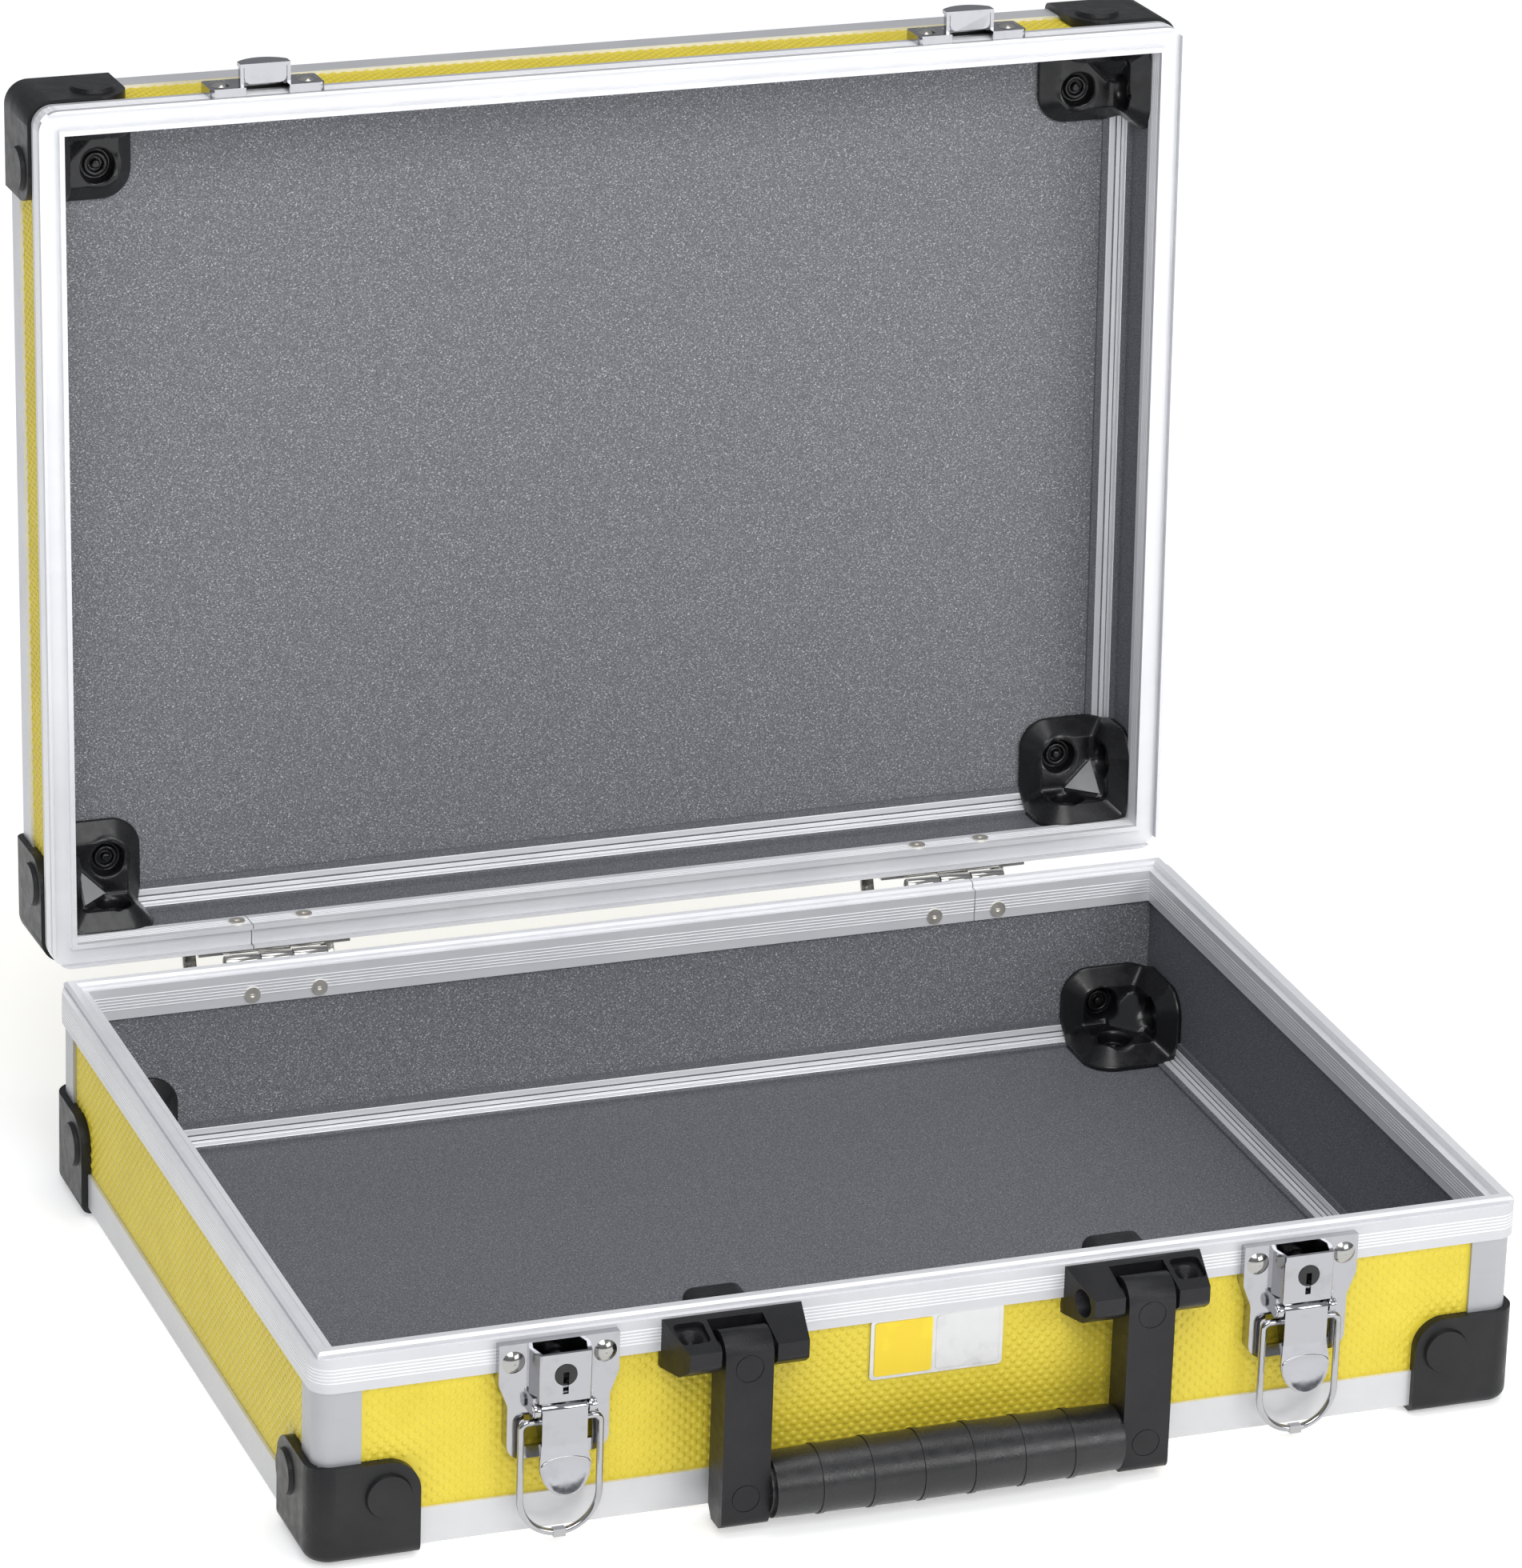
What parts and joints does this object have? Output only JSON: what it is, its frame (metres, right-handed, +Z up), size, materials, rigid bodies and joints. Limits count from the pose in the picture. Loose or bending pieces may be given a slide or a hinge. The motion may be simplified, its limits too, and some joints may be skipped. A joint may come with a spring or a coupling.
{
  "type": "tool case",
  "caption": "Aluminium-framed hard tool case with embossed panels, plastic corners, draw latches with key locks, drop handle and a hinged lid resting open.",
  "frame": {"origin": "middle of the open case's bounding box, on the plane that the four foot rivets stand on; the base's own middle is 16.4 mm in front of it", "axes": "+X to the right seen from the latches, +Y from the latches to the hinges, +Z up"},
  "size_m": [0.3494, 0.328, 0.3266],
  "materials": {
    "yellow_panel": "embossed plastic skin on fibreboard, satin",
    "aluminium_profile": "satin anodised",
    "black_plastic": "fine texture",
    "inner_black_plastic": "gloss",
    "corner_rivet": "satin, domed",
    "nickel_rivet": "nickel plated",
    "bright_steel": "plated",
    "chrome_steel": "bright plated",
    "lock_core": "black",
    "dark_steel": "dark",
    "handle_plastic": "fine texture",
    "handle_grip_plastic": "fine texture",
    "badge": "blank plate"
  },
  "bodies": {
    "case_base": {"badge_plate": "badge", "base_corner_posts": "aluminium_profile", "base_corner_rivets": "corner_rivet", "base_edge_profiles": "aluminium_profile", "base_floor_panel": "yellow_panel", "base_front_panel": "yellow_panel", "base_inner_corners": "inner_black_plastic", "base_left_panel": "yellow_panel", "base_outer_corner_front_left": "black_plastic", "base_outer_corner_front_right": "black_plastic", "base_outer_corner_rear_left": "black_plastic", "base_outer_corner_rear_right": "black_plastic", "base_rear_panel": "yellow_panel", "base_right_panel": "yellow_panel", "base_rim_frame": "aluminium_profile", "handle_backing_plates": "handle_plastic", "handle_bracket_left": "handle_plastic", "handle_bracket_right": "handle_plastic", "handle_pivot_pins": "dark_steel", "handle_screws": "dark_steel", "hinge_base_leaf_left": "bright_steel", "hinge_base_leaf_right": "bright_steel", "hinge_base_rivets": "nickel_rivet", "hinge_pins": "bright_steel", "latch_lever_pins": "chrome_steel", "latch_plate_left": "chrome_steel", "latch_plate_right": "chrome_steel", "latch_plate_rivets": "nickel_rivet", "lock_housing_left": "chrome_steel", "lock_housing_right": "chrome_steel"},
    "lid": {"hinge_lid_leaf_left": "bright_steel", "hinge_lid_leaf_right": "bright_steel", "hinge_lid_rivets": "nickel_rivet", "lid_catch_left": "chrome_steel", "lid_catch_right": "chrome_steel", "lid_catch_rivets": "nickel_rivet", "lid_corner_posts": "aluminium_profile", "lid_corner_rivets": "corner_rivet", "lid_edge_profiles": "aluminium_profile", "lid_front_panel": "yellow_panel", "lid_inner_corners": "inner_black_plastic", "lid_left_panel": "yellow_panel", "lid_outer_corner_front_left": "black_plastic", "lid_outer_corner_front_right": "black_plastic", "lid_outer_corner_rear_left": "black_plastic", "lid_outer_corner_rear_right": "black_plastic", "lid_rear_panel": "yellow_panel", "lid_right_panel": "yellow_panel", "lid_rim_frame": "aluminium_profile", "lid_top_panel": "yellow_panel"},
    "handle": {"handle_arm_left": "handle_plastic", "handle_arm_right": "handle_plastic", "handle_grip": "handle_grip_plastic"},
    "latch_lever_left": {"latch_lever_left": "chrome_steel"},
    "latch_lever_right": {"latch_lever_right": "chrome_steel"},
    "latch_bail_left": {"latch_bail_left": "chrome_steel"},
    "latch_bail_right": {"latch_bail_right": "chrome_steel"},
    "lock_plug_left": {"lock_plug_left": "lock_core"},
    "lock_plug_right": {"lock_plug_right": "lock_core"}
  },
  "joints": [
    {"name": "lid_hinge", "type": "hinge", "parent": "case_base", "child": "lid", "pos_m": [0, 0.1142, 0.0602], "axis": [1, 0, 0], "range_deg": [0, 92.5]},
    {"name": "handle_swing", "type": "hinge", "parent": "case_base", "child": "handle", "pos_m": [0, -0.1531, 0.0532], "axis": [-1, 0, 0], "range_deg": [0, 90]},
    {"name": "latch_lever_left_pivot", "type": "hinge", "parent": "case_base", "child": "latch_lever_left", "pos_m": [-0.106, -0.1502, 0.0416], "axis": [-1, 0, 0], "range_deg": [0, 100]},
    {"name": "latch_bail_left_pivot", "type": "hinge", "parent": "latch_lever_left", "child": "latch_bail_left", "pos_m": [-0.106, -0.1487, 0.0375], "axis": [1, 0, 0], "range_deg": [-180, 0]},
    {"name": "lock_plug_left_turn", "type": "hinge", "parent": "case_base", "child": "lock_plug_left", "pos_m": [-0.106, -0.1499, 0.052], "axis": [0, -1, 0], "range_deg": [0, 90]},
    {"name": "latch_lever_right_pivot", "type": "hinge", "parent": "case_base", "child": "latch_lever_right", "pos_m": [0.106, -0.1502, 0.0416], "axis": [-1, 0, 0], "range_deg": [0, 100]},
    {"name": "latch_bail_right_pivot", "type": "hinge", "parent": "latch_lever_right", "child": "latch_bail_right", "pos_m": [0.106, -0.1487, 0.0375], "axis": [1, 0, 0], "range_deg": [-180, 0]},
    {"name": "lock_plug_right_turn", "type": "hinge", "parent": "case_base", "child": "lock_plug_right", "pos_m": [0.106, -0.1499, 0.052], "axis": [0, -1, 0], "range_deg": [0, 90]}
  ]
}
